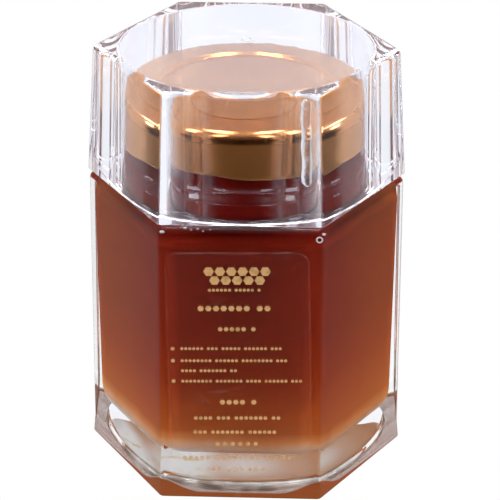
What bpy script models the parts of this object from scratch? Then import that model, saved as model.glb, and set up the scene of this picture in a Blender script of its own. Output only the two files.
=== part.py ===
# Six-sided glass jar of honey: the glass, the honey inside it, a gold screw lid, a clear six-sided
# cap over the lid and a clear film label on the front face.
# Metres, +Z up. The jar stands on z = 0 with its axis on Z, two of its corners on +X and -X and the
# labelled face towards -Y.

import math

import bmesh
import bpy
from mathutils import Matrix

MM = 0.001
GAP = 0.3 * MM  # air between neighbouring pieces
TURN_STEPS = 48  # sides of every round piece
OVERSHOOT = 5 * MM  # how far a cutter stands out of what it opens
MERGE_DISTANCE = 0.01 * MM

# The jar: radii of the hexagon are to its corners
JAR_RADIUS = 36 * MM
JAR_HEIGHT = 67.5 * MM  # from the foot to the flat shoulder
SHOULDER_ROUNDING = 1.9 * MM
FOOT_ROUNDING = 1.1 * MM
JAR_CORNER_ROUNDING = 0.7 * MM
INSIDE_FLOOR = 9.6 * MM  # the base is thick clear glass
INSIDE_CEILING = 64.4 * MM
INSIDE_FOOT_RADIUS = 31.6 * MM
INSIDE_TOP_RADIUS = 33.2 * MM
INSIDE_ROUNDING = 3 * MM
RECESS_RADIUS = 26.7 * MM  # the round push-up under the base
RECESS_RIM = 1.3 * MM
RECESS_DEPTH = 2.2 * MM

# The neck
NECK_RADIUS = 26.3 * MM
NECK_ROOT_RADIUS = 28.4 * MM
BEAD_RADIUS = 27.8 * MM
BEAD_HEIGHT = 73.8 * MM
BORE_RADIUS = 24.3 * MM
RIM_HEIGHT = 87 * MM
HONEY_LEVEL = 79.6 * MM

# The screw lid
LID_RADIUS = 27.9 * MM
LID_FOOT = 77.2 * MM
LID_TOP = 88.4 * MM
LID_WALL = 0.5 * MM
LID_EDGE_ROUNDING = 2.1 * MM
PANEL_RADIUS = 20.3 * MM  # the sunk middle of its top
PANEL_DEPTH = 0.6 * MM

# The clear cap
CAP_FOOT = JAR_HEIGHT + GAP
CAP_TOP = 97.9 * MM
CAP_FOOT_RADIUS = 36 * MM
CAP_TOP_RADIUS = 34.3 * MM
CAP_CORNER_ROUNDING = 0.6 * MM
CAP_FOOT_ROUNDING = 0.3 * MM
CAP_TOP_ROUNDING = 1.5 * MM
CAP_CEILING = 96.7 * MM
CAP_BORE_FOOT = 29.4 * MM
CAP_BORE_TOP = 28.9 * MM
CAP_BORE_ROUNDING = 0.8 * MM

# The label
LABEL_WIDTH = 31.9 * MM
LABEL_HEIGHT = 56.4 * MM
LABEL_FILM = 0.2 * MM
LABEL_ROUNDING = 3 * MM
LABEL_CENTRE = (-0.2 * MM, 33.3 * MM)  # X and Z on the front face
LABEL_TILT = math.radians(1.2)  # its right side sits a little high

FACE_RADIUS = math.cos(math.radians(30))  # a hexagon's flats, for a corner radius of 1

# Colour, roughness, metallic value, light let through and refractive index of each piece
FINISHES = {
    "jar_glass": ((0.93, 0.96, 0.95), 0.02, 0.0, 1.0, 1.52),
    "honey": ((0.17, 0.022, 0.008), 0.12, 0.0, 0.0, 1.49),
    "lid": ((0.60, 0.42, 0.18), 0.24, 1.0, 0.0, 1.45),
    "overcap": ((0.90, 0.88, 0.96), 0.02, 0.0, 1.0, 1.58),
    "label": ((0.86, 0.76, 0.72), 0.35, 0.0, 0.8, 1.46),
}


def clear_scene():
    for ob in list(bpy.data.objects):
        bpy.data.objects.remove(ob, do_unlink=True)


def new_collection(name):
    collection = bpy.data.collections.new(name)
    bpy.context.scene.collection.children.link(collection)
    return collection


def finish_for(name):
    colour, roughness, metallic, clear, index = FINISHES[name]
    material = bpy.data.materials.new(name)
    material.use_nodes = True
    shader = material.node_tree.nodes["Principled BSDF"]
    shader.inputs["Base Color"].default_value = (*colour, 1.0)
    shader.inputs["Roughness"].default_value = roughness
    shader.inputs["Metallic"].default_value = metallic
    shader.inputs["Transmission Weight"].default_value = clear
    shader.inputs["IOR"].default_value = index
    return material


def new_object(name, mesh, collection):
    ob = bpy.data.objects.new(name, mesh)
    collection.objects.link(ob)
    return ob


def as_piece(ob):
    """Give a finished piece its own material and smooth shading with crisp edges."""
    ob.data.materials.clear()
    ob.data.materials.append(finish_for(ob.name))
    ob.data.shade_smooth()
    ob.data.set_sharp_from_angle(angle=math.radians(30))
    return ob


def as_cutter(ob):
    ob.hide_render = True
    ob.display_type = "WIRE"
    return ob


def hexagon(name, foot_radius, top_radius, foot, top, roundings, collection):
    """A six-sided prism with corners on +X and -X.

    roundings holds the widths for its upright, foot and top edges.
    """
    bm = bmesh.new()
    middle = Matrix.Translation((0, 0, (foot + top) / 2))
    bmesh.ops.create_cone(
        bm,
        cap_ends=True,
        segments=6,
        radius1=foot_radius,
        radius2=top_radius,
        depth=top - foot,
        matrix=middle @ Matrix.Rotation(math.radians(30), 4, "Z"),
    )
    upright, at_foot, at_top = roundings
    widest = max(roundings)
    weights = bm.edges.layers.float.new("bevel_weight_edge")
    for edge in bm.edges:
        low, high = sorted(vert.co.z for vert in edge.verts)
        if high - low > widest:
            edge[weights] = upright / widest
        elif high < (foot + top) / 2:
            edge[weights] = at_foot / widest
        else:
            edge[weights] = at_top / widest
    mesh = bpy.data.meshes.new(name)
    bm.to_mesh(mesh)
    bm.free()
    ob = new_object(name, mesh, collection)
    bevel = ob.modifiers.new("rounded edges", "BEVEL")
    bevel.limit_method = "WEIGHT"
    bevel.width = widest
    bevel.segments = 3
    return ob


def turned(name, profile, collection):
    """A solid turned round Z from (radius, height) points, its outer side listed from the top down."""
    bm = bmesh.new()
    verts = [bm.verts.new((radius, 0, height)) for radius, height in profile]
    for upper, lower in zip(verts, verts[1:]):
        bm.edges.new((upper, lower))
    mesh = bpy.data.meshes.new(name)
    bm.to_mesh(mesh)
    bm.free()
    ob = new_object(name, mesh, collection)
    screw = ob.modifiers.new("turn", "SCREW")
    screw.steps = TURN_STEPS
    screw.render_steps = TURN_STEPS
    screw.use_merge_vertices = True
    screw.merge_threshold = MERGE_DISTANCE
    return ob


def arc(radius, height, size, start, end, steps=4):
    """Points of a round stretch of a profile, its centre at (radius, height), by angle in degrees."""
    points = []
    for step in range(steps + 1):
        angle = math.radians(start + (end - start) * step / steps)
        points.append((radius + size * math.cos(angle), height + size * math.sin(angle)))
    return points


def combine(ob, other, operation):
    boolean = ob.modifiers.new(f"{operation.lower()} {other.name}", "BOOLEAN")
    boolean.operation = operation
    boolean.solver = "EXACT"
    boolean.object = other


def jar_glass(pieces, cutters):
    """The six-sided body with a thick base, a round neck and a shallow round push-up under the base."""
    jar = hexagon(
        "jar_glass",
        JAR_RADIUS,
        JAR_RADIUS,
        0,
        JAR_HEIGHT,
        (JAR_CORNER_ROUNDING, FOOT_ROUNDING, SHOULDER_ROUNDING),
        pieces,
    )
    rim_rounding = 0.8 * MM
    bead_rounding = 0.8 * MM
    neck = turned(
        "neck",
        [(0, RIM_HEIGHT)]
        + arc(NECK_RADIUS - rim_rounding, RIM_HEIGHT - rim_rounding, rim_rounding, 90, 0, 3)
        + [(NECK_RADIUS, BEAD_HEIGHT + 2 * bead_rounding)]
        + arc(BEAD_RADIUS - bead_rounding, BEAD_HEIGHT, bead_rounding, 60, -60)
        + [
            (NECK_RADIUS + 0.9 * MM, JAR_HEIGHT + 2.4 * MM),
            (NECK_ROOT_RADIUS, JAR_HEIGHT - 0.2 * MM),
            (NECK_ROOT_RADIUS, INSIDE_CEILING - OVERSHOOT),
            (0, INSIDE_CEILING - OVERSHOOT),
        ],
        cutters,
    )
    combine(jar, as_cutter(neck), "UNION")
    inside = hexagon(
        "inside",
        INSIDE_FOOT_RADIUS,
        INSIDE_TOP_RADIUS,
        INSIDE_FLOOR,
        INSIDE_CEILING,
        (INSIDE_ROUNDING, INSIDE_ROUNDING, INSIDE_ROUNDING),
        cutters,
    )
    combine(jar, as_cutter(inside), "DIFFERENCE")
    bore = turned(
        "bore",
        [
            (0, RIM_HEIGHT + OVERSHOOT),
            (BORE_RADIUS, RIM_HEIGHT + OVERSHOOT),
            (BORE_RADIUS, INSIDE_CEILING - OVERSHOOT),
            (0, INSIDE_CEILING - OVERSHOOT),
        ],
        cutters,
    )
    combine(jar, as_cutter(bore), "DIFFERENCE")
    recess = turned(
        "recess",
        [
            (0, RECESS_DEPTH),
            (RECESS_RADIUS - RECESS_RIM, RECESS_RIM),
            (RECESS_RADIUS, 0),
            (RECESS_RADIUS, -OVERSHOOT),
            (0, -OVERSHOOT),
        ],
        cutters,
    )
    combine(jar, as_cutter(recess), "DIFFERENCE")
    return as_piece(jar)


def honey(pieces, cutters):
    """The honey fills the body and the neck up to its level, a gap short of the glass all round."""
    across = GAP / FACE_RADIUS
    fill = hexagon(
        "honey",
        INSIDE_FOOT_RADIUS - across,
        INSIDE_TOP_RADIUS - across,
        INSIDE_FLOOR + GAP,
        INSIDE_CEILING - GAP,
        (INSIDE_ROUNDING, INSIDE_ROUNDING, INSIDE_ROUNDING),
        pieces,
    )
    column = turned(
        "honey_column",
        [
            (0, HONEY_LEVEL),
            (BORE_RADIUS - GAP, HONEY_LEVEL),
            (BORE_RADIUS - GAP, INSIDE_CEILING - OVERSHOOT),
            (0, INSIDE_CEILING - OVERSHOOT),
        ],
        cutters,
    )
    combine(fill, as_cutter(column), "UNION")
    return as_piece(fill)


def lid(pieces):
    """A pressed metal cup with a rounded edge, a sunk middle panel and a small roll at its foot."""
    edge = LID_EDGE_ROUNDING
    inner_radius = LID_RADIUS - LID_WALL
    roll = 0.5 * MM
    slope = 0.8 * MM  # width of the step down to the panel
    profile = [
        (0, LID_TOP - PANEL_DEPTH),
        (PANEL_RADIUS - slope, LID_TOP - PANEL_DEPTH),
        (PANEL_RADIUS, LID_TOP),
    ]
    profile += arc(LID_RADIUS - edge, LID_TOP - edge, edge, 90, 0)
    profile += [
        (LID_RADIUS, LID_FOOT + roll),
        (LID_RADIUS - roll / 2, LID_FOOT),
        (inner_radius, LID_FOOT),
    ]
    profile += arc(inner_radius - edge, LID_TOP - LID_WALL - edge, edge, 0, 90)
    profile += [
        (PANEL_RADIUS, LID_TOP - LID_WALL),
        (PANEL_RADIUS - slope, LID_TOP - LID_WALL - PANEL_DEPTH),
        (0, LID_TOP - LID_WALL - PANEL_DEPTH),
    ]
    return as_piece(turned("lid", profile, pieces))


def overcap(pieces, cutters):
    """The clear cap: a hexagon outside, a round cup inside, standing on the jar's shoulder."""
    cap = hexagon(
        "overcap",
        CAP_FOOT_RADIUS,
        CAP_TOP_RADIUS,
        CAP_FOOT,
        CAP_TOP,
        (CAP_CORNER_ROUNDING, CAP_FOOT_ROUNDING, CAP_TOP_ROUNDING),
        pieces,
    )
    rounding = CAP_BORE_ROUNDING
    cup = turned(
        "cap_bore",
        [(0, CAP_CEILING)]
        + arc(CAP_BORE_TOP - rounding, CAP_CEILING - rounding, rounding, 90, 0, 3)
        + [(CAP_BORE_FOOT, CAP_FOOT), (CAP_BORE_FOOT, CAP_FOOT - OVERSHOOT), (0, CAP_FOOT - OVERSHOOT)],
        cutters,
    )
    combine(cap, as_cutter(cup), "DIFFERENCE")
    return as_piece(cap)


def label(pieces):
    """A thin film with rounded corners, a gap in front of the front face."""
    bm = bmesh.new()
    bmesh.ops.create_cube(bm, size=1, matrix=Matrix.Diagonal((LABEL_WIDTH, LABEL_FILM, LABEL_HEIGHT, 1)))
    corners = [edge for edge in bm.edges if abs(edge.verts[0].co.y - edge.verts[1].co.y) > LABEL_FILM / 2]
    bmesh.ops.bevel(
        bm,
        geom=corners,
        offset=LABEL_ROUNDING,
        affect="EDGES",
        segments=4,
        profile=0.5,
        material=-1,
    )
    mesh = bpy.data.meshes.new("label")
    bm.to_mesh(mesh)
    bm.free()
    film = new_object("label", mesh, pieces)
    across, up = LABEL_CENTRE
    film.location = (across, -JAR_RADIUS * FACE_RADIUS - GAP - LABEL_FILM / 2, up)
    film.rotation_euler = (0, -LABEL_TILT, 0)
    return as_piece(film)


def build():
    clear_scene()
    pieces = new_collection("honey_jar")
    cutters = new_collection("honey_jar_cutters")
    jar_glass(pieces, cutters)
    honey(pieces, cutters)
    lid(pieces)
    overcap(pieces, cutters)
    label(pieces)


build()
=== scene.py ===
# %% [markdown]
# This lesson dresses a jar of honey: a six-sided glass jar, the honey in it, a gold screw lid, a clear
# six-sided cap over the lid and a clear film label with gold marks.
# The solid model already holds the sizes and the places. It could simply be given materials, but its
# facets are coarse for clear glass, where every wrong edge shows. So each piece is made again, finer, in
# the place of its own solid.

# %% Load the solid model
import math
import random

import bmesh
import bpy
from mathutils import Matrix, Vector


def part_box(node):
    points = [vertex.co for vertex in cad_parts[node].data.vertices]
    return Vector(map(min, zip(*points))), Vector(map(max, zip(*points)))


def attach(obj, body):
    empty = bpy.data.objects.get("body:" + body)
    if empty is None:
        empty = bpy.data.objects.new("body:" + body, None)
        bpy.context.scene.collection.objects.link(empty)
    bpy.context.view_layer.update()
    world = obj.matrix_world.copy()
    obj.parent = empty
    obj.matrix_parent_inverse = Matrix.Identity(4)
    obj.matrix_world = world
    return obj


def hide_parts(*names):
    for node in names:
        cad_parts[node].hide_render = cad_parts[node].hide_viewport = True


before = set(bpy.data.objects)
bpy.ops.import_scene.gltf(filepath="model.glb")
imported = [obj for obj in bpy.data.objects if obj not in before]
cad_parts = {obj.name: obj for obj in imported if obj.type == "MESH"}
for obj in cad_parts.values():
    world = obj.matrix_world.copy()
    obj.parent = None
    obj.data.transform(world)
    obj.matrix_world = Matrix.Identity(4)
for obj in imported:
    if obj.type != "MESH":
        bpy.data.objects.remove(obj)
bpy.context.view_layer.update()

# %% [markdown]
# All sizes are in metres. Those that the solids have are read from their boxes, so that the fine pieces
# stay where the solids are. The others are the wall thicknesses and roundings, which a box can't tell,
# and they are written down where each piece is made.

# %% Sizes of the whole
MM = 0.001
glass_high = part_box("jar_glass")[1]
honey_low, honey_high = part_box("honey")
lid_low, lid_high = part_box("lid")
cap_low, cap_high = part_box("overcap")
label_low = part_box("label")[0]
GAP = 0.3 * MM  # the solids stand clear of each other by this
FLAT = glass_high.y  # from the axis to the middle of a flat side
SHOULDER = cap_low.z - GAP
RIM = glass_high.z
FLOOR = honey_low.z - GAP
HONEY_LEVEL = honey_high.z
print("flat side at", round(FLAT / MM, 2), "mm, shoulder at", round(SHOULDER / MM, 2), "mm")

# %% [markdown]
# The camera stands where the photograph was taken from: in front, a little to the right, and well above
# the jar. The lens and the place could be guessed by eye, but the six corners of the cap and of the foot
# give them exactly, so they were solved from those.

# %% Camera
CAMERA_PLACE = Vector((23.29, -587.64, 315.56)) * MM
CAMERA_AIM = Vector((0.9, 0.04, 47.92)) * MM
CAMERA_ROLL = math.radians(0.15)
CAMERA_LENS = 201.2  # in millimetres, before a sensor of 36
camera_data = bpy.data.cameras.new("camera")
camera_data.sensor_width = 36
camera_data.lens = CAMERA_LENS
camera_data.clip_start = 0.01
camera_data.clip_end = 20
camera = bpy.data.objects.new("camera", camera_data)
bpy.context.scene.collection.objects.link(camera)
look = (CAMERA_AIM - CAMERA_PLACE).to_track_quat("-Z", "Y")
camera.location = CAMERA_PLACE
camera.rotation_mode = "QUATERNION"
camera.rotation_quaternion = look @ Matrix.Rotation(CAMERA_ROLL, 4, "Z").to_quaternion()
bpy.context.scene.camera = camera
print("camera", round((CAMERA_AIM - CAMERA_PLACE).length, 3), "m from the jar")

# %% [markdown]
# The jar, the cap and the space for the honey are all six-sided below or outside and round above or
# inside. A hexagon and a cylinder could be joined with booleans, which leaves a ragged seam that clear
# glass would show. Here one outline is spun into a round piece instead, and each ring of it is then
# pushed out to a hexagon as far as that ring asks: 0 keeps it round, 1 makes it six-sided.

# %% Outlines
SIXTH = math.radians(60)


def arc(size, height, radius, start, end, steps=8):
    """Points of a round stretch of an outline, its centre at (size, height), by angle in degrees."""
    points = []
    for step in range(steps + 1):
        angle = math.radians(start + (end - start) * step / steps)
        points.append((size + radius * math.cos(angle), height + radius * math.sin(angle)))
    return points


def ring(points, sixness=0.0, rounding=1.0 * MM):
    """Give each point its share of the hexagon and the rounding of the hexagon's corners."""
    return [(size, height, sixness, rounding) for size, height in points]


def reach(flat, rounding, angle):
    """How far a hexagon with rounded corners reaches from the axis, at an angle from +X."""
    off_corner = abs((angle + SIXTH / 2) % SIXTH - SIXTH / 2)
    centre = (flat - rounding) / math.cos(SIXTH / 2)
    across = rounding * math.sin(SIXTH / 2)
    along = centre + rounding * math.cos(SIXTH / 2)
    if off_corner > math.atan2(across, along):
        return flat / math.cos(SIXTH / 2 - off_corner)
    aside = centre * math.sin(off_corner)
    return centre * math.cos(off_corner) + math.sqrt(max(rounding**2 - aside**2, 0.0))


print("a hexagon of 10 mm reaches", round(reach(10.0, 1.0, 0.0), 2), "mm to its rounded corner")

# %% [markdown]
# The spin turns the outline round the jar's axis and welds its two ends. Each ring then gets its hexagon.
# The steps of the turn are even at first. They are crowded towards the corners, where the shape bends
# most, so that fewer of them are needed.

# %% Turning
TURN_STEPS = 288
CROWDING = 0.85  # how far the steps crowd towards the corners
WELD = 0.0005 * MM


def finish_mesh(name, bm):
    mesh = bpy.data.meshes.new(name)
    bm.to_mesh(mesh)
    bm.free()
    mesh.shade_smooth()
    piece = bpy.data.objects.new(name, mesh)
    bpy.context.scene.collection.objects.link(piece)
    print(name, len(mesh.polygons), "faces")
    return piece


def turned(name, outline, steps=TURN_STEPS, crowding=CROWDING):
    bm = bmesh.new()
    six_layer = bm.verts.layers.float.new("sixness")
    round_layer = bm.verts.layers.float.new("rounding")
    verts = []
    for size, height, sixness, rounding in outline:
        vert = bm.verts.new((size, 0, height))
        vert[six_layer] = sixness
        vert[round_layer] = rounding
        verts.append(vert)
    edges = [bm.edges.new(pair) for pair in zip(verts, verts[1:])]
    bmesh.ops.spin(
        bm,
        geom=verts + edges,
        cent=(0, 0, 0),
        axis=(0, 0, 1),
        dvec=(0, 0, 0),
        angle=math.tau,
        steps=steps,
        use_merge=True,
        use_duplicate=False,
    )
    bmesh.ops.remove_doubles(bm, verts=bm.verts[:], dist=WELD)
    for vert in bm.verts:
        size = math.hypot(vert.co.x, vert.co.y)
        if size < WELD:
            continue
        angle = math.atan2(vert.co.y, vert.co.x)
        angle -= crowding / 6 * math.sin(6 * angle)
        sixness = vert[six_layer]
        radius = (1 - sixness) * size
        if sixness > 0:
            radius += sixness * reach(size, vert[round_layer], angle)
        vert.co.x = radius * math.cos(angle)
        vert.co.y = radius * math.sin(angle)
    bmesh.ops.recalc_face_normals(bm, faces=bm.faces[:])
    return finish_mesh(name, bm)


print("a full turn has", TURN_STEPS, "steps")

# %% [markdown]
# A flat side next to a narrow rounding looks dented when its shading is averaged over both. Subdivision
# would cure that with many more faces. Weighted normals cure it with none, because the large flat faces
# then decide, so every turned piece gets that modifier.

# %% Even shading and a place in the frame
def even_normals(piece):
    even = piece.modifiers.new("even normals", "WEIGHTED_NORMAL")
    even.weight = 50
    even.keep_sharp = True


def in_frame(piece, node=None):
    """Tie a piece to the model, in the place of the solid that it dresses."""
    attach(piece, "root")
    if node:
        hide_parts(node)


print("pieces can be shaded and tied to the frame")

# %% [markdown]
# Every finish below is a small network of nodes. Written out, each node takes four or five lines, which
# hides what the network does. The first helper makes a node, sets its options and fills or wires its
# inputs in one line. The second starts a material, and gives back its tree, its shader and the place of
# each point on the piece.

# %% Nodes and finishes
def node(tree, kind, inputs=None, **options):
    made = tree.nodes.new("ShaderNode" + kind)
    for option, value in options.items():
        setattr(made, option, value)
    for name, value in (inputs or {}).items():
        if isinstance(value, bpy.types.NodeSocket):
            tree.links.new(value, made.inputs[name])
        else:
            made.inputs[name].default_value = value
    return made


def finish(name, **values):
    material = bpy.data.materials.new(name)
    material.use_nodes = True
    tree = material.node_tree
    shader = tree.nodes["Principled BSDF"]
    for socket, value in values.items():
        shader.inputs[socket.replace("_", " ")].default_value = value
    place = node(tree, "TexCoord").outputs["Object"]
    print("finish", name)
    return material, tree, shader, place


# %% [markdown]
# What comes back in many finishes gets a helper too: a range, a grey pattern, a colour ramp, a blend, a
# sum, the distance from the axis and a relief. Each adds its nodes and gives back the socket to go on from.

# %% Patterns and blends
def spread(tree, value, low, high, to_low=0.0, to_high=1.0, smooth=True):
    """Turn a value between low and high into one between to_low and to_high, and clamp it."""
    made = node(
        tree,
        "MapRange",
        {"Value": value, "From Min": low, "From Max": high, "To Min": to_low, "To Max": to_high},
        interpolation_type="SMOOTHSTEP" if smooth else "LINEAR",
    )
    return made.outputs["Result"]


def speckle(tree, place, scale, detail=2.0, stretch=(1, 1, 1), roughness=0.5):
    """A grey noise of so many lumps to the metre, squeezed along each axis by stretch."""
    squeezed = node(tree, "Mapping", {"Vector": place, "Scale": stretch})
    inputs = {"Vector": squeezed.outputs[0], "Scale": scale, "Detail": detail, "Roughness": roughness}
    return node(tree, "TexNoise", inputs).outputs["Fac"]


def ramp(tree, value, stops):
    made = node(tree, "ValToRGB", {"Fac": value})
    elements = made.color_ramp.elements
    while len(elements) < len(stops):
        elements.new(0.5)
    for element, (at, colour) in zip(elements, stops):
        element.position = at
        element.color = (*colour, 1)
    return made.outputs["Color"]


def blend(tree, share, first, second):
    made = node(tree, "Mix", data_type="RGBA")
    for index, value in ((0, share), (6, first), (7, second)):
        if isinstance(value, bpy.types.NodeSocket):
            tree.links.new(value, made.inputs[index])
        elif index == 0:
            made.inputs[0].default_value = value
        else:
            made.inputs[index].default_value = (*value, 1)
    return made.outputs[2]


def sums(tree, operation, first, second):
    return node(tree, "Math", {0: first, 1: second}, operation=operation).outputs[0]


def axis_distance(tree, place):
    """How far a point lies from the jar's axis."""
    flat_place = node(tree, "Mapping", {"Vector": place, "Scale": (1, 1, 0)}).outputs[0]
    return node(tree, "VectorMath", {0: flat_place}, operation="LENGTH").outputs["Value"]


def relief(tree, shader, height, distance):
    bump = node(tree, "Bump", {"Height": height, "Distance": distance})
    tree.links.new(bump.outputs[0], shader.inputs["Normal"])


print("helpers for finishes are ready")

# %% [markdown]
# The jar is pressed glass: flat sides with softly rounded upright edges, a rounded shoulder, a thick
# clear base pushed up underneath, and a round neck with a bead that the lid turns down to. The inside is
# a rounder hexagon that narrows towards the foot. It is one closed shell, outside and inside in one
# outline, because light bends rightly only in a closed solid.

# %% Sizes of the glass
CORNER = 1.2 * MM  # rounding of the upright edges
FOOT_EDGE = 0.5 * MM
FOOT_FLARE = 0.3 * MM  # how far the foot stands out from the flat sides
FLARE_MIDDLE = 2.2 * MM
FLARE_TOP = 4.4 * MM
SHOULDER_EDGE = 1.9 * MM
PUSH_UP_RADIUS = 26.7 * MM
PUSH_UP_DOME = [(0, 3.2), (8, 3.13), (16, 2.95), (22, 2.7)]  # from the axis and up, in millimetres
PUSH_UP_EDGE = 1.5 * MM
PUSH_UP_EDGE_HEIGHT = 1.0 * MM
PUSH_UP_INSET = 1.9 * MM
PUSH_UP_LIP = 0.2 * MM
INSIDE_TOP = 28.7 * MM
INSIDE_FOOT = 27.3 * MM
INSIDE_CORNER = 5 * MM
INSIDE_FOOT_EDGE = 3.4 * MM
CEILING = 64.4 * MM
BORE = 24.3 * MM
BORE_EDGE = 1.2 * MM
NECK = 26.3 * MM
NECK_EDGE = 0.8 * MM
NECK_FOOT_OUT = 2.6 * MM  # from the neck's wall out to where its foot begins
NECK_FOOT_EDGE = 1.2 * MM
WAIST_OUT = 1.2 * MM
WAIST_EDGE = 0.5 * MM
WAIST_HEIGHT = SHOULDER + 3.9 * MM
BEAD = 27.8 * MM
BEAD_EDGE = 0.6 * MM
BEAD_HEIGHT = SHOULDER + 6.3 * MM
BEAD_TOP = SHOULDER + 8.0 * MM
RIM_EDGE = 0.6 * MM
print("glass wall", round((FLAT - INSIDE_TOP) / MM, 2), "mm at the middle of a side")

# %% [markdown]
# The inside wall is needed twice: for the glass and, pushed a little into the glass, for the honey. So
# it is a function of that push, which keeps the two in step.

# %% Inside wall


def inside_outline(push=0.0):
    """The inner wall from the middle of the floor up to the neck. push moves it into the glass."""
    edge = INSIDE_FOOT_EDGE
    points = ring([(0, FLOOR - push), (14 * MM, FLOOR - push)])
    low = arc(INSIDE_FOOT - edge, FLOOR + edge, edge + push, -90, 0)
    points += ring(low, 1, INSIDE_CORNER + push)
    high = arc(INSIDE_TOP - edge, CEILING - edge, edge + push, 0, 80)
    points += ring(high, 1, INSIDE_CORNER + push)
    points += ring(arc(BORE + BORE_EDGE, CEILING + BORE_EDGE, BORE_EDGE - push, -90, -180))
    return points


print("inside wall from", round(FLOOR / MM, 1), "to", round(CEILING / MM, 1), "mm")

# %% [markdown]
# The outline of the glass starts under the middle of the base and goes round: the push-up, the foot, the
# flat side, the shoulder, the neck with its bead, the rim, and down the inside. The push-up is round, the
# foot, the side and the shoulder are six-sided, and the neck is round again.

# %% Glass jar
outline = ring([(away * MM, up * MM) for away, up in PUSH_UP_DOME])
outline += ring(arc(PUSH_UP_RADIUS - PUSH_UP_INSET, PUSH_UP_EDGE_HEIGHT, PUSH_UP_EDGE, 80, 12))
outline += ring([(PUSH_UP_RADIUS + PUSH_UP_LIP, 0)])
outline += ring(arc(FLAT + FOOT_FLARE - FOOT_EDGE, FOOT_EDGE, FOOT_EDGE, -90, 0), 1, CORNER)
outline += ring([(FLAT + 0.6 * FOOT_FLARE, FLARE_MIDDLE), (FLAT, FLARE_TOP)], 1, CORNER)
outline += ring(arc(FLAT - SHOULDER_EDGE, SHOULDER - SHOULDER_EDGE, SHOULDER_EDGE, 0, 90), 1, CORNER)
outline += ring(arc(NECK + NECK_FOOT_OUT, SHOULDER + NECK_FOOT_EDGE, NECK_FOOT_EDGE, -90, -150))
outline += ring(arc(NECK + WAIST_OUT, WAIST_HEIGHT, WAIST_EDGE, -120, -240, 6))
outline += ring(arc(BEAD - BEAD_EDGE, BEAD_HEIGHT, BEAD_EDGE, -70, 70))
outline += ring([(NECK, BEAD_TOP)])
outline += ring(arc(NECK - NECK_EDGE, RIM - NECK_EDGE, NECK_EDGE, 0, 90))
outline += ring(arc(BORE + RIM_EDGE, RIM - RIM_EDGE, RIM_EDGE, 90, 180))
outline += list(reversed(inside_outline()))
jar = turned("jar_glass_fine", outline)
even_normals(jar)
in_frame(jar, "jar_glass")

# %% [markdown]
# Jar glass is colourless, with a surface that isn't quite even: shallow waves from the mould and a few
# smears. A plain glass shader gives the bending of light, and a wide, very low relief gives the waves.
# In the foot the edge gathers the amber light of the honey above it like a lens, and that light is
# painted in: a painted amber tint of the lowest part of the sides that rises towards the two front
# corners, and the shader is less clear there, so that the painted amber shows from every side. The
# steep edge of the push-up is streaked grey with painted shade, for the shaded floor under the jar.

# %% Clear glass
GLASS_TINT = (0.955, 0.985, 1.0)
# painted reflection: the amber of the honey that the foot gathers like a lens, painted as a tint
PAINTED_FOOT_AMBER = (0.31, 0.070, 0.014)
GLOW_AT_SIDES = 0.85 * MM  # how high the amber reaches at the sides and the back
GLOW_AT_FRONT = 0.9 * MM  # and how much higher at the front
GLOW_AT_CORNERS = 3.9 * MM  # and at the front corners
FOOT_CLEARNESS = 0.25
# painted shade: dark and pale streaks for the shaded floor under the jar, seen through the push-up's steep
# edge
EDGE_SHADE_DARK = (0.16, 0.105, 0.075)
EDGE_SHADE_PALE = (0.55, 0.48, 0.44)
EDGE_AT = PUSH_UP_RADIUS - 0.9 * MM  # the middle of the push-up's steep edge
glass, tree, shader, place = finish("clear_glass", IOR=1.52, Transmission_Weight=1.0)
axes = node(tree, "SeparateXYZ", {0: place})
from_axis = axis_distance(tree, place)
at_front = spread(tree, axes.outputs["Y"], -4 * MM, -29 * MM)
corner_rise = spread(tree, from_axis, 32.5 * MM, 36 * MM, GLOW_AT_FRONT, GLOW_AT_CORNERS)
glow_top = sums(tree, "ADD", sums(tree, "MULTIPLY", corner_rise, at_front), GLOW_AT_SIDES)
above = sums(tree, "SUBTRACT", axes.outputs["Z"], glow_top)
# share of the painted amber: the lowest part of the sides, reaching higher at the front corners
painted_amber_share = spread(tree, above, -0.5 * MM, 0.3 * MM, 1.0, 0.0)
tint = blend(tree, painted_amber_share, GLASS_TINT, PAINTED_FOOT_AMBER)
# painted shade in streaks, only on the push-up's steep edge and low down
streaks = spread(tree, speckle(tree, place, 110, 2.0), 0.35, 0.65)
painted_shade_streaks = blend(tree, streaks, EDGE_SHADE_DARK, EDGE_SHADE_PALE)
off_edge = sums(tree, "ABSOLUTE", sums(tree, "SUBTRACT", from_axis, EDGE_AT), 0.0)
edge_share = spread(tree, off_edge, 1.1 * MM, 1.5 * MM, 1.0, 0.0)
low_share = spread(tree, axes.outputs["Z"], 2.8 * MM, 3.4 * MM, 1.0, 0.0)
tint = blend(tree, sums(tree, "MULTIPLY", edge_share, low_share), tint, painted_shade_streaks)
tree.links.new(tint, shader.inputs["Base Color"])
clearness = spread(tree, painted_amber_share, 0.0, 1.0, 1.0, FOOT_CLEARNESS, False)
tree.links.new(clearness, shader.inputs["Transmission Weight"])
smears = speckle(tree, place, 60, 3.0, (1, 1, 0.35))
tree.links.new(spread(tree, smears, 0.62, 0.8, 0.0, 0.06), shader.inputs["Roughness"])
relief(tree, shader, speckle(tree, place, 90, 1.0, (1, 1, 0.5)), 0.03 * MM)
jar.data.materials.append(glass)

# %% [markdown]
# Honey fills the jar and half of the neck. Through the glass it looks as if it touched the outside,
# because nothing parts it from the wall. A gap of air, however thin, would mirror at every angle, so the
# honey reaches a quarter of a millimetre into the glass all round. It is dark and slightly set, and
# shows nothing behind it, so it can be an opaque body.

# %% Honey
INTO_WALL = 0.25 * MM
CREEP = 0.8 * MM  # how far the honey creeps up the wall of the neck
CREEP_WIDTH = 0.6 * MM
DIP = 0.1 * MM
outline = inside_outline(INTO_WALL)
outline += ring([(BORE + INTO_WALL, HONEY_LEVEL + CREEP), (BORE - CREEP_WIDTH, HONEY_LEVEL)])
outline += ring([(0, HONEY_LEVEL - DIP)])
honey = turned("honey_fill", outline)
even_normals(honey)
in_frame(honey, "honey")
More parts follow.
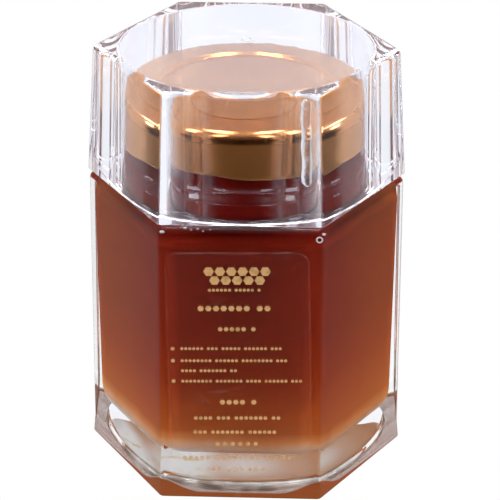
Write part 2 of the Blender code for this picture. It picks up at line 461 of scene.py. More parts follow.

# %% [markdown]
# It is red brown in the middle. Painted shade makes it nearly black red under the shoulder, and painted
# light from the white floor, let in by the clear base, makes it amber at the foot. Towards the left and
# right corners it is thinner and light comes through, so painted golden light is blended in there.
# Underneath, painted light from the floor makes it pale in the middle and nearly white on the left,
# with a few khaki patches. Each of these is a ramp over a height or a distance, and a slow noise clouds
# them. Inside the glass the honey has no gloss of its own, so its specular level is zero.

# %% Dark honey
# painted light and shade by height: painted shade near black red under the shoulder, painted light from the
# floor amber and pale at the foot
HONEY_LIGHT_AND_SHADE_BY_HEIGHT = [
    (0.00, (0.92, 0.66, 0.54)),
    (0.03, (0.84, 0.48, 0.29)),
    (0.065, (0.68, 0.23, 0.062)),
    (0.105, (0.48, 0.104, 0.018)),
    (0.176, (0.43, 0.078, 0.014)),
    (0.325, (0.32, 0.038, 0.0088)),
    (0.53, (0.26, 0.025, 0.0085)),
    (0.72, (0.250, 0.022, 0.0090)),
    (0.875, (0.220, 0.0185, 0.0080)),
    (0.95, (0.150, 0.0075, 0.0030)),
    (1.00, (0.150, 0.0075, 0.0030)),
]
HONEY_IN_NECK = (0.42, 0.012, 0.004)
# painted light: the golden light that comes through the thinner honey at the left and right corners
HONEY_LIT_THROUGH = (0.66, 0.25, 0.02)
LIT_THROUGH_SHARE = 0.14
# painted light from the white floor, let in by the clear base, on the honey's underside: pale, nearly white
# on the left, with khaki patches
UNDERLIT_WHITE = (1.0, 1.0, 1.0)
UNDERLIT_KHAKI = (0.78, 0.62, 0.32)
HONEY_UNDERLIT = [
    (0.00, (0.95, 0.86, 0.83)),
    (0.14, (0.90, 0.78, 0.72)),
    (0.39, (0.72, 0.45, 0.32)),
    (0.65, (0.64, 0.34, 0.20)),
    (0.93, (0.66, 0.33, 0.17)),
    (1.00, (0.86, 0.52, 0.33)),
]
honey_finish, tree, shader, place = finish("dark_honey", Specular_IOR_Level=0.0)
axes = node(tree, "SeparateXYZ", {0: place})
cloud = speckle(tree, place, 55, 3.0, (1, 1, 0.6))
waver = spread(tree, cloud, 0.3, 0.7, -0.02, 0.02, False)
height = sums(tree, "ADD", spread(tree, axes.outputs["Z"], FLOOR, SHOULDER, 0, 1, False), waver)
body_colour = ramp(tree, height, HONEY_LIGHT_AND_SHADE_BY_HEIGHT)
in_neck = spread(tree, axes.outputs["Z"], SHOULDER - 2 * MM, SHOULDER + 1 * MM)
body_colour = blend(tree, in_neck, body_colour, HONEY_IN_NECK)
aside = sums(tree, "ABSOLUTE", axes.outputs["X"], 0.0)
lit_through_mask = spread(tree, aside, 15 * MM, 31 * MM, 0.0, LIT_THROUGH_SHARE)
body_colour = blend(tree, lit_through_mask, body_colour, HONEY_LIT_THROUGH)
from_axis = axis_distance(tree, place)
# the underside's painted light, by distance from the axis and whiter on the left
underlit_colour = ramp(tree, spread(tree, from_axis, 0.0, 28 * MM, 0, 1, False), HONEY_UNDERLIT)
underlit_patches = spread(tree, speckle(tree, place, 150, 2.0), 0.53, 0.68)
left_side = spread(tree, axes.outputs["X"], -4 * MM, -12 * MM)
left_underlit_colour = blend(tree, underlit_patches, UNDERLIT_WHITE, UNDERLIT_KHAKI)
underlit_colour = blend(tree, left_side, underlit_colour, left_underlit_colour)
underlit_share = spread(tree, axes.outputs["Z"], FLOOR + 0.2 * MM, FLOOR + 1.8 * MM, 1.0, 0.0)
colour = blend(tree, underlit_share, body_colour, underlit_colour)
tree.links.new(colour, shader.inputs["Base Color"])
grain = speckle(tree, place, 900, 2.0)
tree.links.new(spread(tree, grain, 0.3, 0.7, 0.45, 0.6), shader.inputs["Roughness"])
honey.data.materials.append(honey_finish)

# %% [markdown]
# The lid is pressed from thin sheet: a flat top with a sunk middle and a low bead round it, a rounded
# edge, a plain skirt and a small roll at its foot, which rises a little between the lugs that grip the
# thread. It is round all over, so a plain spin makes it, with no hexagon in it. The foot's rise is a
# wave round the jar, added to the lowest rings after the spin.

# %% Gold lid
PANEL = 20.3 * MM
PANEL_DEPTH = 0.6 * MM
LID = lid_high.x
LID_EDGE = 2.1 * MM
LID_WALL = 0.5 * MM
LID_ROLL = 0.45 * MM
LUGS = 4
LUG_START = math.radians(-6)  # from the front, where the first lug begins
LUG_LIFT = 0.8 * MM
LUG_STEEPNESS = 2.2
LUG_BAND_TOP = lid_low.z + 2.0 * MM  # the wave fades out up to here
PANEL_STEP = [(-1.0, -0.6), (-0.65, -0.5), (-0.3, 0.05), (0, 0.11), (0.1, 0)]  # out and up, in mm
PANEL_STEP_WIDTH = 0.8 * MM
NIP = 0.15 * MM  # how far the skirt narrows over its roll
NIP_TOP = lid_low.z + 1.6 * MM
NIP_FOOT = lid_low.z + 1.2 * MM
top = lid_high.z
outline = [(0, top - PANEL_DEPTH)]
outline += [(PANEL + out * MM, top + up * MM) for out, up in PANEL_STEP]
outline += arc(LID - LID_EDGE, top - LID_EDGE, LID_EDGE, 90, 0, 12)
outline += [(LID, NIP_TOP), (LID - NIP, NIP_FOOT)]
outline += arc(LID - LID_ROLL, lid_low.z + LID_ROLL, LID_ROLL, 10, -180, 8)
outline += arc(LID - LID_WALL - LID_EDGE, top - LID_WALL - LID_EDGE, LID_EDGE, 0, 90, 8)
outline += [(PANEL, top - LID_WALL), (PANEL - PANEL_STEP_WIDTH, top - LID_WALL - PANEL_DEPTH)]
outline += [(0, top - LID_WALL - PANEL_DEPTH)]
lid = turned("screw_lid", ring(outline), 144, 0)
for vert in lid.data.vertices:
    low_share = min(1.0, max(0.0, (LUG_BAND_TOP - vert.co.z) / MM))
    azimuth = math.atan2(vert.co.x, -vert.co.y)
    wave = math.sin(LUGS * (azimuth - LUG_START))
    lift = 0.5 - 0.5 * max(-1.0, min(1.0, LUG_STEEPNESS * wave))
    vert.co.z += low_share * lift * LUG_LIFT
even_normals(lid)
in_frame(lid, "lid")

# %% [markdown]
# The lid is tinplate under a gold lacquer. A single gold colour would look like plastic, so the metal
# has a fine rolled grain in its relief and its roughness, broad patches where the lacquer is thicker and
# browner, and a few fine scratches. Towards its left and right a painted reflection of the tent, which
# is mirrored there, makes it paler.
# The top is bright metal. On the skirt the lacquer is thicker and softer, so less metal shows, and from
# the rounded edge on a clear coat gives the lacquer's own gloss.

# %% Gold lacquer
THIN_LACQUER = (0.62, 0.235, 0.060)
THICK_LACQUER = (0.48, 0.175, 0.044)
# painted reflection of the tent, mirrored towards the lid's left and right
PAINTED_TENT_REFLECTION = (0.90, 0.46, 0.20)
SCRATCHED = (0.86, 0.60, 0.34)
SKIRT_METAL = 0.42
gold, tree, shader, place = finish("gold_lacquer", Specular_IOR_Level=0.15, Coat_Roughness=0.14)
patches = spread(tree, speckle(tree, place, 45, 3.0), 0.3, 0.7)
grain = speckle(tree, place, 1500, 3.0, (1, 1, 0.25))
base = blend(tree, patches, THIN_LACQUER, THICK_LACQUER)
scratch = speckle(tree, place, 160, 0.0, (9, 1, 1.4))
scratch_share = spread(tree, scratch, 0.80, 0.84, 0.0, 0.5)
base = blend(tree, scratch_share, base, SCRATCHED)
axes = node(tree, "SeparateXYZ", {0: place})
height = axes.outputs["Z"]
# the share of the painted reflection grows towards the left and right
reflection_share = spread(tree, sums(tree, "ABSOLUTE", axes.outputs["X"], 0.0), 8 * MM, 22 * MM, 0.0, 0.6)
base = blend(tree, reflection_share, base, PAINTED_TENT_REFLECTION)
metal = spread(tree, height, top - 3.2 * MM, top - 2.2 * MM, SKIRT_METAL, 1.0)
tree.links.new(metal, shader.inputs["Metallic"])
coat = spread(tree, axis_distance(tree, place), LID - LID_EDGE, LID - LID_EDGE + 0.5 * MM, 0.0, 0.7)
tree.links.new(coat, shader.inputs["Coat Weight"])
tree.links.new(base, shader.inputs["Base Color"])
tree.links.new(spread(tree, grain, 0.3, 0.7, 0.15, 0.22), shader.inputs["Roughness"])
relief(tree, shader, grain, 0.0012 * MM)
lid.data.materials.append(gold)

# %% [markdown]
# The cap is one moulding of clear plastic: six flat sides that lean in slightly, and a round cup inside.
# Between the two the walls are thin at the middle of each side and thick at the corners, which is what
# bends the view there.

# %% Clear cap
CAP_SPREAD = 0.3 * MM  # a rounded edge looks smaller, so its planes stand out by this
CAP_CEILING = 97.1 * MM
CUP_FOOT = 29.4 * MM
CUP_TOP = 29.1 * MM
CUP_EDGE = 0.8 * MM
CAP_EDGE = 1.5 * MM
CUP_FOOT_EDGE = 0.5 * MM
CAP_FOOT_EDGE = 0.25 * MM
CAP_CORNER = 0.9 * MM
CAP_TOP = cap_high.z + CAP_SPREAD
CAP_CORNERS_TOP = 34.3 * MM  # from the axis to a corner, at the top and at the foot
CAP_CORNERS_FOOT = 36 * MM
CAP_FLAT_TOP = CAP_CORNERS_TOP * math.cos(SIXTH / 2) + CAP_SPREAD
CAP_FLAT_FOOT = CAP_CORNERS_FOOT * math.cos(SIXTH / 2) + 0.7 * CAP_SPREAD
outline = ring([(0, CAP_TOP), (20 * MM, CAP_TOP)])
outline += ring(arc(CAP_FLAT_TOP - CAP_EDGE, CAP_TOP - CAP_EDGE, CAP_EDGE, 90, 0), 1, CAP_CORNER)
foot = arc(CAP_FLAT_FOOT - CAP_FOOT_EDGE, cap_low.z + CAP_FOOT_EDGE, CAP_FOOT_EDGE, 0, -90, 4)
outline += ring(foot, 1, CAP_CORNER)
outline += ring(arc(CUP_FOOT + CUP_FOOT_EDGE, cap_low.z + CUP_FOOT_EDGE, CUP_FOOT_EDGE, -90, -180, 4))
outline += ring(arc(CUP_TOP - CUP_EDGE, CAP_CEILING - CUP_EDGE, CUP_EDGE, 0, 90))
outline += ring([(0, CAP_CEILING)])
cap = turned("clear_cap", outline)
even_normals(cap)
in_frame(cap, "overcap")

# %% [markdown]
# Clear styrene has a faint lilac cast and bends light more than glass does. The moulding leaves low
# ripples, drawn out upwards, which a low relief gives, and handling leaves a few smears, which are
# patches of a little roughness.

# %% Clear plastic
PLASTIC_DEEP = (0.895, 0.92, 1.0)
PLASTIC_PALE = (0.915, 0.94, 1.0)
plastic, tree, shader, place = finish("clear_plastic", IOR=1.59, Transmission_Weight=1.0)
clouds = spread(tree, speckle(tree, place, 40, 2.0), 0.3, 0.7)
tint = blend(tree, clouds, PLASTIC_DEEP, PLASTIC_PALE)
tree.links.new(tint, shader.inputs["Base Color"])
smears = speckle(tree, place, 70, 3.0, (1, 1, 0.4))
tree.links.new(spread(tree, smears, 0.64, 0.8, 0.0, 0.05), shader.inputs["Roughness"])
relief(tree, shader, speckle(tree, place, 160, 2.0, (1, 1, 0.4)), 0.012 * MM)
cap.data.materials.append(plastic)

# %% [markdown]
# Two tiny rings lie on the jar: one in the mark that the mould left on the cap, and one where a bubble
# burst. Bmesh has no operator for a torus, so a small circle is spun round an axis, and the ring is then
# turned to face its way and moved to its place.

# %% Small rings
RING_STEPS = 24


def small_ring(bm, centre, facing, radius, thickness):
    """A torus round centre, its hole looking along facing."""
    before = set(bm.verts)
    start = bmesh.ops.create_circle(
        bm,
        segments=8,
        radius=thickness,
        matrix=Matrix.Translation((radius, 0, 0)) @ Matrix.Rotation(math.radians(90), 4, "X"),
    )["verts"]
    edges = {edge for vert in start for edge in vert.link_edges}
    bmesh.ops.spin(
        bm,
        geom=start + list(edges),
        cent=(0, 0, 0),
        axis=(0, 0, 1),
        dvec=(0, 0, 0),
        angle=math.tau,
        steps=RING_STEPS,
        use_merge=True,
        use_duplicate=False,
    )
    verts = [vert for vert in bm.verts if vert not in before]
    turn = Vector((0, 0, 1)).rotation_difference(facing).to_matrix()
    bmesh.ops.rotate(bm, verts=verts, cent=(0, 0, 0), matrix=turn)
    bmesh.ops.translate(bm, verts=verts, vec=centre)


print("small rings have", RING_STEPS, "steps")

# %% [markdown]
# Where the plastic was shot into its mould, the top of the cap has a small burst: a ring with splinters
# round it. A bump could fake it, but it catches the light from every side, so it is a real small ring,
# with thin cones laid round it by a seeded draw.

# %% Mark of the mould
GATE_PLACE = Vector((0, 3.7 * MM, CAP_TOP))
GATE_RADIUS = 0.9 * MM
GATE_THICKNESS = 0.22 * MM
SPLINTERS = 9
SPLINTER_ROOT = 0.14 * MM
SPLINTER_TIP = 0.03 * MM
draw = random.Random(4)
bm = bmesh.new()
small_ring(bm, GATE_PLACE, Vector((0, 0, 1)), GATE_RADIUS, GATE_THICKNESS)
for number in range(SPLINTERS):
    angle = math.tau * number / SPLINTERS + draw.uniform(-0.25, 0.25)
    length = draw.uniform(0.5, 1.3) * MM
    away = Vector((math.cos(angle), math.sin(angle), 0))
    middle = GATE_PLACE + away * (GATE_RADIUS + length / 2)
    lie = Vector((0, 0, 1)).rotation_difference(away).to_matrix().to_4x4()
    bmesh.ops.create_cone(
        bm,
        cap_ends=True,
        segments=5,
        radius1=SPLINTER_ROOT,
        radius2=SPLINTER_TIP,
        depth=length,
        matrix=Matrix.Translation(middle) @ lie,
    )
bmesh.ops.recalc_face_normals(bm, faces=bm.faces[:])
gate = finish_mesh("mould_mark", bm)
in_frame(gate)

# %% [markdown]
# Down the front of the cap, near its right edge, a run of clear glue has set. It is a long bead with
# wavering sides and a round tip. A cylinder is cut into many rings, and each ring is widened, thinned
# and shifted by a smooth function of its height, so that it ripples as the real one does.

# %% Run of clear glue
RUN_TOP = 97.3 * MM
RUN_TIP = 77.3 * MM
RUN_AT_TOP = 13.9 * MM
RUN_AT_TIP = 14.4 * MM
RUN_HALF_WIDTH = 1.15 * MM
RUN_PROUD = 0.7 * MM
RUN_ROOT = 0.2 * MM  # how deep its back is set into the cap
RUN_RINGS = 70
LEAN = (CAP_FLAT_FOOT - CAP_FLAT_TOP) / (CAP_TOP - cap_low.z)  # of the cap's sides


def cap_front(height):
    """How far forward the cap's front side stands at a height."""
    return -(CAP_FLAT_FOOT - LEAN * (height - cap_low.z))


bm = bmesh.new()
bmesh.ops.create_cone(
    bm,
    cap_ends=True,
    segments=20,
    radius1=1.0,
    radius2=1.0,
    depth=1.0,
)
upright = [edge for edge in bm.edges if abs(edge.verts[0].co.z - edge.verts[1].co.z) > 0.5]
bmesh.ops.subdivide_edges(bm, edges=upright, cuts=RUN_RINGS, use_grid_fill=True)
for vert in bm.verts:
    share = 0.5 - vert.co.z  # 0 at the top, 1 at the tip
    height = RUN_TOP + (RUN_TIP - RUN_TOP) * share
    to_end = min(share, 1 - share) * (RUN_TOP - RUN_TIP)
    blunt = math.sqrt(min(1.0, (to_end + 0.02 * MM) / RUN_HALF_WIDTH))
    ripple = 1 + 0.16 * math.sin(37 * share) + 0.10 * math.sin(83 * share + 1) * math.sin(11 * share)
    sway = 0.10 * MM * math.sin(19 * share + 0.5)
    middle = RUN_AT_TOP + (RUN_AT_TIP - RUN_AT_TOP) * share + sway
    forward = max(-vert.co.y, 0.0) * RUN_PROUD * blunt * ripple * (0.8 + 0.5 * share)
    if vert.co.y > -0.01:
        forward = -RUN_ROOT
    across = middle + vert.co.x * RUN_HALF_WIDTH * blunt * (0.9 + 0.1 * ripple)
    vert.co = Vector((across, cap_front(height) - forward, height))
bmesh.ops.recalc_face_normals(bm, faces=bm.faces[:])
run = finish_mesh("glue_run", bm)
in_frame(run)

# %% [markdown]
# Round the shoulder lie a few crumbs of the same clear glue, and on the glass near the right edge a
# small burst bubble has left a ring. They are tiny, but the dark honey behind makes them sparkle. The
# crumbs are low balls, put where the real ones lie and moved out of round by a seeded draw.

# %% Crumbs and a bubble
CRUMB_SPOTS = [(18.2, 66.2, 0.30), (-17.2, 66.1, 0.38), (-12.2, 66.9, 0.26), (-10.8, 66.6, 0.16)]
CRUMB_SPOTS += [(-9.4, 66.8, 0.2), (-8.2, 66.4, 0.14), (-6.6, 66.7, 0.12), (13.9, 66.6, 0.14)]
BUBBLE_PLACE = Vector((17.3, -31.2, 64.85)) * MM
BUBBLE_RADIUS = 0.62 * MM
BUBBLE_THICKNESS = 0.16 * MM
bm = bmesh.new()
small_ring(bm, BUBBLE_PLACE, Vector((0, -1, 0)), BUBBLE_RADIUS, BUBBLE_THICKNESS)
for across, height, size in CRUMB_SPOTS:
    inset = max(0.0, height * MM - (SHOULDER - SHOULDER_EDGE))
    back = SHOULDER_EDGE - math.sqrt(SHOULDER_EDGE**2 - inset**2)
    spot = Vector((across * MM, -FLAT + back - 0.05 * MM, height * MM))
    ball = bmesh.ops.create_icosphere(bm, subdivisions=2, radius=size * MM)["verts"]
    for vert in ball:
        vert.co *= draw.uniform(0.75, 1.15)
        vert.co.x *= 1.5
        vert.co.y *= 0.45
        vert.co += spot
bmesh.ops.recalc_face_normals(bm, faces=bm.faces[:])
crumbs = finish_mesh("crumbs_and_bubble", bm)
in_frame(crumbs)

# %% [markdown]
# Set glue is clear but full of fine ripples, so it glitters white. A glass shader with a strong small
# relief does that, where white paint would look like chalk. The run is clear along its middle and is made
# milky along its sides, painted light for the white outlines that its steep sides give, and the crumbs
# and the mark of the mould are milky all over.

# %% Set glue
glue, tree, shader, place = finish("set_glue", IOR=1.5, Transmission_Weight=1.0)
axes = node(tree, "SeparateXYZ", {0: place})
from_run = sums(tree, "SUBTRACT", axes.outputs["X"], (RUN_AT_TOP + RUN_AT_TIP) / 2)
# painted light: the run's sides are made milky and less clear, for the white outlines that its steep sides
# give
painted_white_sides = spread(tree, sums(tree, "ABSOLUTE", from_run, 0.0), 0.55 * MM, 1.0 * MM, 0.94, 0.45)
tree.links.new(painted_white_sides, shader.inputs["Transmission Weight"])
milk = spread(tree, speckle(tree, place, 2200, 2.0), 0.35, 0.65)
milky = blend(tree, milk, (0.93, 0.92, 0.97), (1.0, 1.0, 1.0))
tree.links.new(milky, shader.inputs["Base Color"])
tree.links.new(spread(tree, milk, 0, 1, 0.02, 0.12), shader.inputs["Roughness"])
relief(tree, shader, speckle(tree, place, 2200, 2.0), 0.05 * MM)
for piece in (gate, run, crumbs):
    piece.data.materials.append(glue)

# %% [markdown]
# The label is a thin clear film with rounded corners, stuck a little askew on the front. A box, beveled
# at its four corners and inset for a narrow rim, is enough. The rim is a material of its own, because
# the cut edge of a film catches more light than its middle.

# %% Clear film label
LABEL_WIDTH = 31.9 * MM
LABEL_HEIGHT = 56.4 * MM
LABEL_ROUNDING = 3 * MM
LABEL_CENTRE = Vector((-0.2 * MM, 0, 33.3 * MM))
LABEL_TILT = math.radians(1.2)
RIM_WIDTH = 0.22 * MM
FILM_BACK = -FLAT - 0.02 * MM
FILM_FRONT = label_low.y
TO_FACE = Matrix.Translation(LABEL_CENTRE) @ Matrix.Rotation(-LABEL_TILT, 4, "Y")

bm = bmesh.new()
middle = Matrix.Translation((0, (FILM_FRONT + FILM_BACK) / 2, 0))
size = Matrix.Diagonal((LABEL_WIDTH, FILM_BACK - FILM_FRONT, LABEL_HEIGHT, 1))
bmesh.ops.create_cube(bm, size=1, matrix=TO_FACE @ middle @ size)
deep = [edge for edge in bm.edges if abs(edge.verts[0].co.y - edge.verts[1].co.y) > 0.1 * MM]
bmesh.ops.bevel(
    bm,
    geom=deep,
    offset=LABEL_ROUNDING,
    affect="EDGES",
    segments=10,
    profile=0.5,
    material=-1,
)
front = [face for face in bm.faces if face.normal.y < -0.9]
bmesh.ops.inset_region(bm, faces=front, thickness=RIM_WIDTH, depth=0)
whole = (LABEL_WIDTH - 2 * LABEL_ROUNDING) * (LABEL_HEIGHT - 2 * LABEL_ROUNDING)
for face in bm.faces:
    face.material_index = 0 if face.calc_area() > whole else 1
    face.smooth = False
film_piece = finish_mesh("label_film", bm)
film_piece.data.set_sharp_from_angle(angle=math.radians(30))
in_frame(film_piece, "label")

# %% [markdown]
# The film is nearly invisible. What shows is a breath of haze, short level scuffs where it was rubbed,
# and more haze towards its foot. All of that is in the alpha: almost nothing between, a little more in
# the scuffs, which are a noise squeezed flat. The rim has an alpha of its own, in broken stretches.

# %% Film
FILM_TINT = (0.86, 0.72, 0.68, 1)
FILM_RIM_TINT = (0.86, 0.70, 0.64, 1)
film, tree, shader, place = finish("clear_film", Base_Color=FILM_TINT)
axes = node(tree, "SeparateXYZ", {0: place})
scuffs = spread(tree, speckle(tree, place, 1100, 3.0, (0.3, 1, 2.5), 0.6), 0.57, 0.71, 0.0, 0.09)
blotches = spread(tree, speckle(tree, place, 130, 2.0), 0.5, 0.75, 0.05, 1.0)
haze = spread(tree, axes.outputs["Z"], 20 * MM, 6 * MM, 0.0, 0.02)
haze = sums(tree, "ADD", haze, 0.004)
cover = sums(tree, "ADD", sums(tree, "MULTIPLY", scuffs, blotches), haze)
tree.links.new(cover, shader.inputs["Alpha"])
tree.links.new(spread(tree, scuffs, 0, 0.1, 0.3, 0.6), shader.inputs["Roughness"])
rim_film, tree, shader, place = finish("film_rim", Base_Color=FILM_RIM_TINT, Roughness=0.4)
broken = spread(tree, speckle(tree, place, 260, 2.0), 0.35, 0.65, 0.015, 0.085)
tree.links.new(broken, shader.inputs["Alpha"])
film_piece.data.materials.append(film)
film_piece.data.materials.append(rim_film)

# %% [markdown]
# On the film stand plain gold marks: two rows of honeycomb cells at the top, runs of small beads under
# them, three bullets and a row of dots. They are raised a hair, as screen print is. A cell and a bead are
# the same thing, a flat six-sided prism, so one helper makes both. How many beads a run has comes from a
# seeded draw, so the same marks come back every time.

# %% Cells and beads
PRINT_THICKNESS = 0.04 * MM
BEAD_SHARE = 0.29  # radius of a bead, as a share of the height of its row
BEAD_PITCH = 2.35  # from bead to bead and over a gap, in radii of a bead
BEAD_GAP = 1.6
draw = random.Random(12)


def cell(bm, across, height, radius, sides=6, hollow=0.0):
    """A flat prism on the film, its place and size in millimetres, with a sunk middle if hollow."""
    turn = Matrix.Rotation(math.radians(90), 4, "X") @ Matrix.Rotation(math.radians(30), 4, "Z")
    middle = Vector((across * MM, FILM_FRONT - PRINT_THICKNESS / 2, height * MM - LABEL_CENTRE.z))
    made = bmesh.ops.create_cone(
        bm,
        cap_ends=True,
        segments=sides,
        radius1=radius * MM,
        radius2=radius * MM,
        depth=PRINT_THICKNESS,
        matrix=Matrix.Translation(middle) @ turn,
    )["verts"]
    if hollow:
        outer = {face for vert in made for face in vert.link_faces if face.normal.y < -0.9}
        bmesh.ops.inset_region(bm, faces=list(outer), thickness=hollow * MM, depth=-0.03 * MM)


def row(bm, start, end, height, tall):
    """A row of beads in runs, from start to end."""
    radius = BEAD_SHARE * tall
    across = start + radius
    left_in_run = draw.randint(3, 8)
    while across < end:
        cell(bm, across, height, radius)
        across += BEAD_PITCH * radius
        left_in_run -= 1
        if left_in_run == 0:
            across += BEAD_GAP * radius
            left_in_run = draw.randint(3, 8)


print("print stands", round(PRINT_THICKNESS / MM, 2), "mm proud of the film")

# %% [markdown]
# The marks are placed in millimetres on the face of the label. A row of beads is given by where it starts
# and ends, how high it stands and how tall it is. The lowest two rows are a piece of their own, because
# they are nearly rubbed away and their ink is fainter.

# %% Gold marks
HEADING_ROWS = [(6, -6.3, 57.1), (5, -5.05, 54.95)]  # how many cells, where they start, how high
HEADING_PITCH = 2.5
HEADING_CELL = 1.17
HEADING_SINK = 0.36
BULLETS_AT = -14.8
BULLET_HEIGHTS = (38.2, 35.2, 30.1)
BULLET = 0.45
ROUND_SIDES = 10
DOTS = 6
DOTS_START = -5.3
DOTS_PITCH = 1.72
DOTS_HEIGHT = 14.2
DOT = 0.48
ROWS = [(-6.6, 4.9, 52.6, 1.3), (-9.0, 7.9, 48.1, 2.5), (-4.6, 3.9, 43.0, 1.9)]
ROWS += [(-13.1, 9.3, 38.2, 1.3), (-13.1, 11.1, 35.2, 1.3), (-13.1, -0.8, 32.7, 1.3)]
ROWS += [(-13.1, 14.1, 30.1, 1.3), (-4.6, 3.5, 24.8, 2.2), (-10.5, 8.75, 20.8, 1.6)]
ROWS += [(-10.75, 8.5, 17.2, 1.6)]
FAINT_ROWS = [(-13.3, 11.6, 10.7, 1.9), (-8.1, 6.1, 7.7, 1.9)]
bm = bmesh.new()
for cells, start, height in HEADING_ROWS:
    for number in range(cells):
        cell(bm, start + HEADING_PITCH * number, height, HEADING_CELL, 6, HEADING_SINK)
for start, end, height, tall in ROWS:
    row(bm, start, end, height, tall)
for height in BULLET_HEIGHTS:
    cell(bm, BULLETS_AT, height, BULLET, ROUND_SIDES)
for number in range(DOTS):
    cell(bm, DOTS_START + DOTS_PITCH * number, DOTS_HEIGHT, DOT, ROUND_SIDES)
bmesh.ops.transform(bm, matrix=TO_FACE, verts=bm.verts[:])
marks = finish_mesh("gold_marks", bm)
bm = bmesh.new()
for start, end, height, tall in FAINT_ROWS:
    row(bm, start, end, height, tall)
bmesh.ops.transform(bm, matrix=TO_FACE, verts=bm.verts[:])
faint_marks = finish_mesh("faint_gold_marks", bm)
for piece in (marks, faint_marks):
    piece.data.set_sharp_from_angle(angle=math.radians(30))
    in_frame(piece)

# %% [markdown]
# The ink is a pale gold with tiny flakes in it, worn thin in places. One function makes both inks: a
# well covering one, and a paler one with a low alpha for the two lowest rows.

# %% Gold ink
def ink(name, cover_low, cover_high, colour):
    material, tree, shader, place = finish(name, Metallic=0.15)
    flakes = spread(tree, speckle(tree, place, 2500, 1.0), 0.35, 0.65)
    base = blend(tree, flakes, colour, tuple(min(1.0, 1.12 * part) for part in colour))
    tree.links.new(base, shader.inputs["Base Color"])
    wear = spread(tree, speckle(tree, place, 500, 3.0), 0.35, 0.5, cover_low, cover_high)
    tree.links.new(wear, shader.inputs["Alpha"])
    tree.links.new(spread(tree, flakes, 0, 1, 0.35, 0.55), shader.inputs["Roughness"])
    return material


INK = (0.80, 0.47, 0.19)
WORN_INK = (0.80, 0.50, 0.25)
marks.data.materials.append(ink("gold_ink", 0.75, 1.0, INK))
faint_marks.data.materials.append(ink("worn_gold_ink", 0.10, 0.42, WORN_INK))

# %% [markdown]
# The jar was photographed on white, in a bright tent that is open towards the camera. A lit floor
# would need many lamps to come out evenly white. A floor that glows by itself does it at once: white
# behind and beside the jar, dark in front of it, where the front glass mirrors it. The camera itself
# sees it white everywhere. Mirror images of it are weaker, as they would be in the tent.

# %% Floor
DARK_FRONT = 0.01
BRIGHT = 1.12
bpy.ops.mesh.primitive_plane_add(size=8, location=(0, 0, 0))
floor = bpy.context.object
floor.name = "studio_floor"
floor_finish = bpy.data.materials.new("pale_floor")
floor_finish.use_nodes = True
tree = floor_finish.node_tree
tree.nodes.clear()
axes = node(tree, "SeparateXYZ", {0: node(tree, "TexCoord").outputs["Object"]})
path = node(tree, "LightPath")
aside = sums(tree, "MULTIPLY", sums(tree, "ABSOLUTE", axes.outputs["X"], 0.0), 0.50)
depth = sums(tree, "ADD", axes.outputs["Y"], aside)
glow = spread(tree, depth, -0.10, 0.02, DARK_FRONT, BRIGHT)
mirrored = spread(tree, axes.outputs["X"], -0.15, 0.15, 0.21, 0.14)
reflected = sums(tree, "SUBTRACT", path.outputs["Is Glossy Ray"], path.outputs["Is Transmission Ray"])
share = node(tree, "Mix", {0: reflected, 2: 1.0, 3: mirrored}, data_type="FLOAT")
glow = sums(tree, "MULTIPLY", glow, share.outputs[0])
seen = node(tree, "Mix", {0: path.outputs["Is Camera Ray"], 2: glow, 3: 1.0}, data_type="FLOAT")
light = node(tree, "Emission", {"Strength": seen.outputs[0]})
node(tree, "OutputMaterial", {"Surface": light.outputs[0]})
floor.data.materials.append(floor_finish)
print("floor glows from", DARK_FRONT, "in front to", BRIGHT, "behind")

# %% [markdown]
# Above the floor the tent goes on: bright behind, bright overhead, dark at the front near the ground. A
# dome of panels could be built for it. The world shader tells these directions apart without any mesh.

# %% Tent
TENT_TINT = (0.98, 0.97, 1.0, 1)
world = bpy.data.worlds.new("studio")
bpy.context.scene.world = world
world.use_nodes = True
tree = world.node_tree
axes = node(tree, "SeparateXYZ", {0: node(tree, "TexCoord").outputs["Generated"]})
low_front = spread(tree, axes.outputs["Z"], 0.1, 0.6, 0.04, 0.22)
overhead = spread(tree, axes.outputs["Z"], 0.60, 0.85, 0.0, 0.9)
front = sums(tree, "ADD", low_front, overhead)
sideways = sums(tree, "MULTIPLY", sums(tree, "ABSOLUTE", axes.outputs["X"], 0.0), 0.9)
behind = spread(tree, sums(tree, "ADD", axes.outputs["Y"], sideways), -0.2, 0.25)
level = node(tree, "Mix", {0: behind, 2: front, 3: BRIGHT}, data_type="FLOAT").outputs[0]
path = node(tree, "LightPath")
reflected = sums(tree, "SUBTRACT", path.outputs["Is Glossy Ray"], path.outputs["Is Transmission Ray"])
mirrored = spread(tree, sums(tree, "ABSOLUTE", axes.outputs["X"], 0.0), 0.2, 0.6, 0.95, 0.2)
share = node(tree, "Mix", {0: reflected, 2: 1.0, 3: mirrored}, data_type="FLOAT").outputs[0]
level = sums(tree, "MULTIPLY", level, share)
background = tree.nodes["Background"]
background.inputs["Color"].default_value = TENT_TINT
tree.links.new(level, background.inputs["Strength"])
print("tent glows", BRIGHT, "behind")

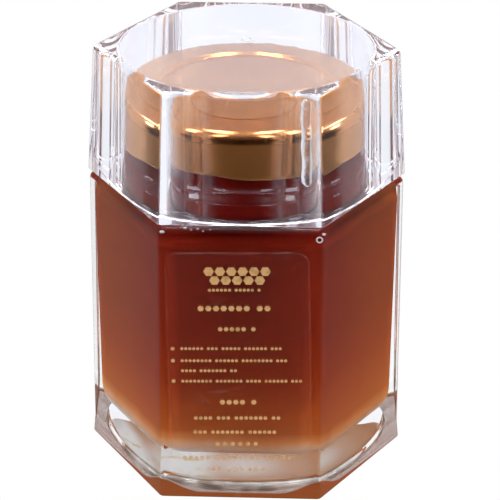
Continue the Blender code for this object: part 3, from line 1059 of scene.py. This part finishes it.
# %% [markdown]
# Two kinds of lamp light the jar. Two soft squares in front, left and right, light the print and the
# honey. Two strips hang overhead and run from front to back. The lid's rounded edge mirrors them as two
# long highlights with a dark gap between, as the photograph shows. A square would mirror too, and a strip
# would light the print from above, so each kind is hidden from the other's use.

# %% Soft lamps
LAMP_SIZE = 0.32
LAMP_AIM = Vector((0, 0, 0.06))
LAMP_GLOW = 9.5  # watts per square metre and steradian
STRIP_WIDTH = 0.26
STRIP_LENGTH = 0.60
STRIP_GLOW = 42.0
scene = bpy.context.scene


def lamp(name, place, aim, width, length, glow):
    data = bpy.data.lights.new(name, "AREA")
    data.shape = "RECTANGLE"
    data.size = width
    data.size_y = length
    data.energy = glow * math.pi * width * length
    made = bpy.data.objects.new(name, data)
    made.location = place
    made.rotation_euler = (aim - made.location).to_track_quat("-Z", "Y").to_euler()
    scene.collection.objects.link(made)
    print(name, round(data.energy, 2), "W")
    return made


for name, side in (("left", -1), ("right", 1)):
    square_place = (0.48 * side, -0.42, 0.62)
    square = lamp(name + " softbox", square_place, LAMP_AIM, LAMP_SIZE, LAMP_SIZE, LAMP_GLOW)
    square.visible_glossy = False
    strip_place = Vector((0.26 * side, 0.04, 0.90))
    below = strip_place - Vector((0, 0, 1))
    strip = lamp(name + " strip", strip_place, below, STRIP_WIDTH, STRIP_LENGTH, STRIP_GLOW)
    strip.visible_diffuse = False

# %% [markdown]
# Light crosses up to eight clear surfaces on its way through cap and jar, and bounces many times inside
# the thick corners and the base, so the limits on bounces are set high. The plain view transform keeps
# the white floor white.

# %% Light paths and colour
scene.view_settings.view_transform = "Standard"
MOST_BOUNCES = 128
scene.cycles.max_bounces = MOST_BOUNCES
scene.cycles.transmission_bounces = MOST_BOUNCES
scene.cycles.glossy_bounces = MOST_BOUNCES
scene.cycles.diffuse_bounces = 4
scene.cycles.transparent_max_bounces = 16
scene.cycles.sample_clamp_indirect = 6
scene.cycles.use_denoising = True
print("light may bounce", MOST_BOUNCES, "times")
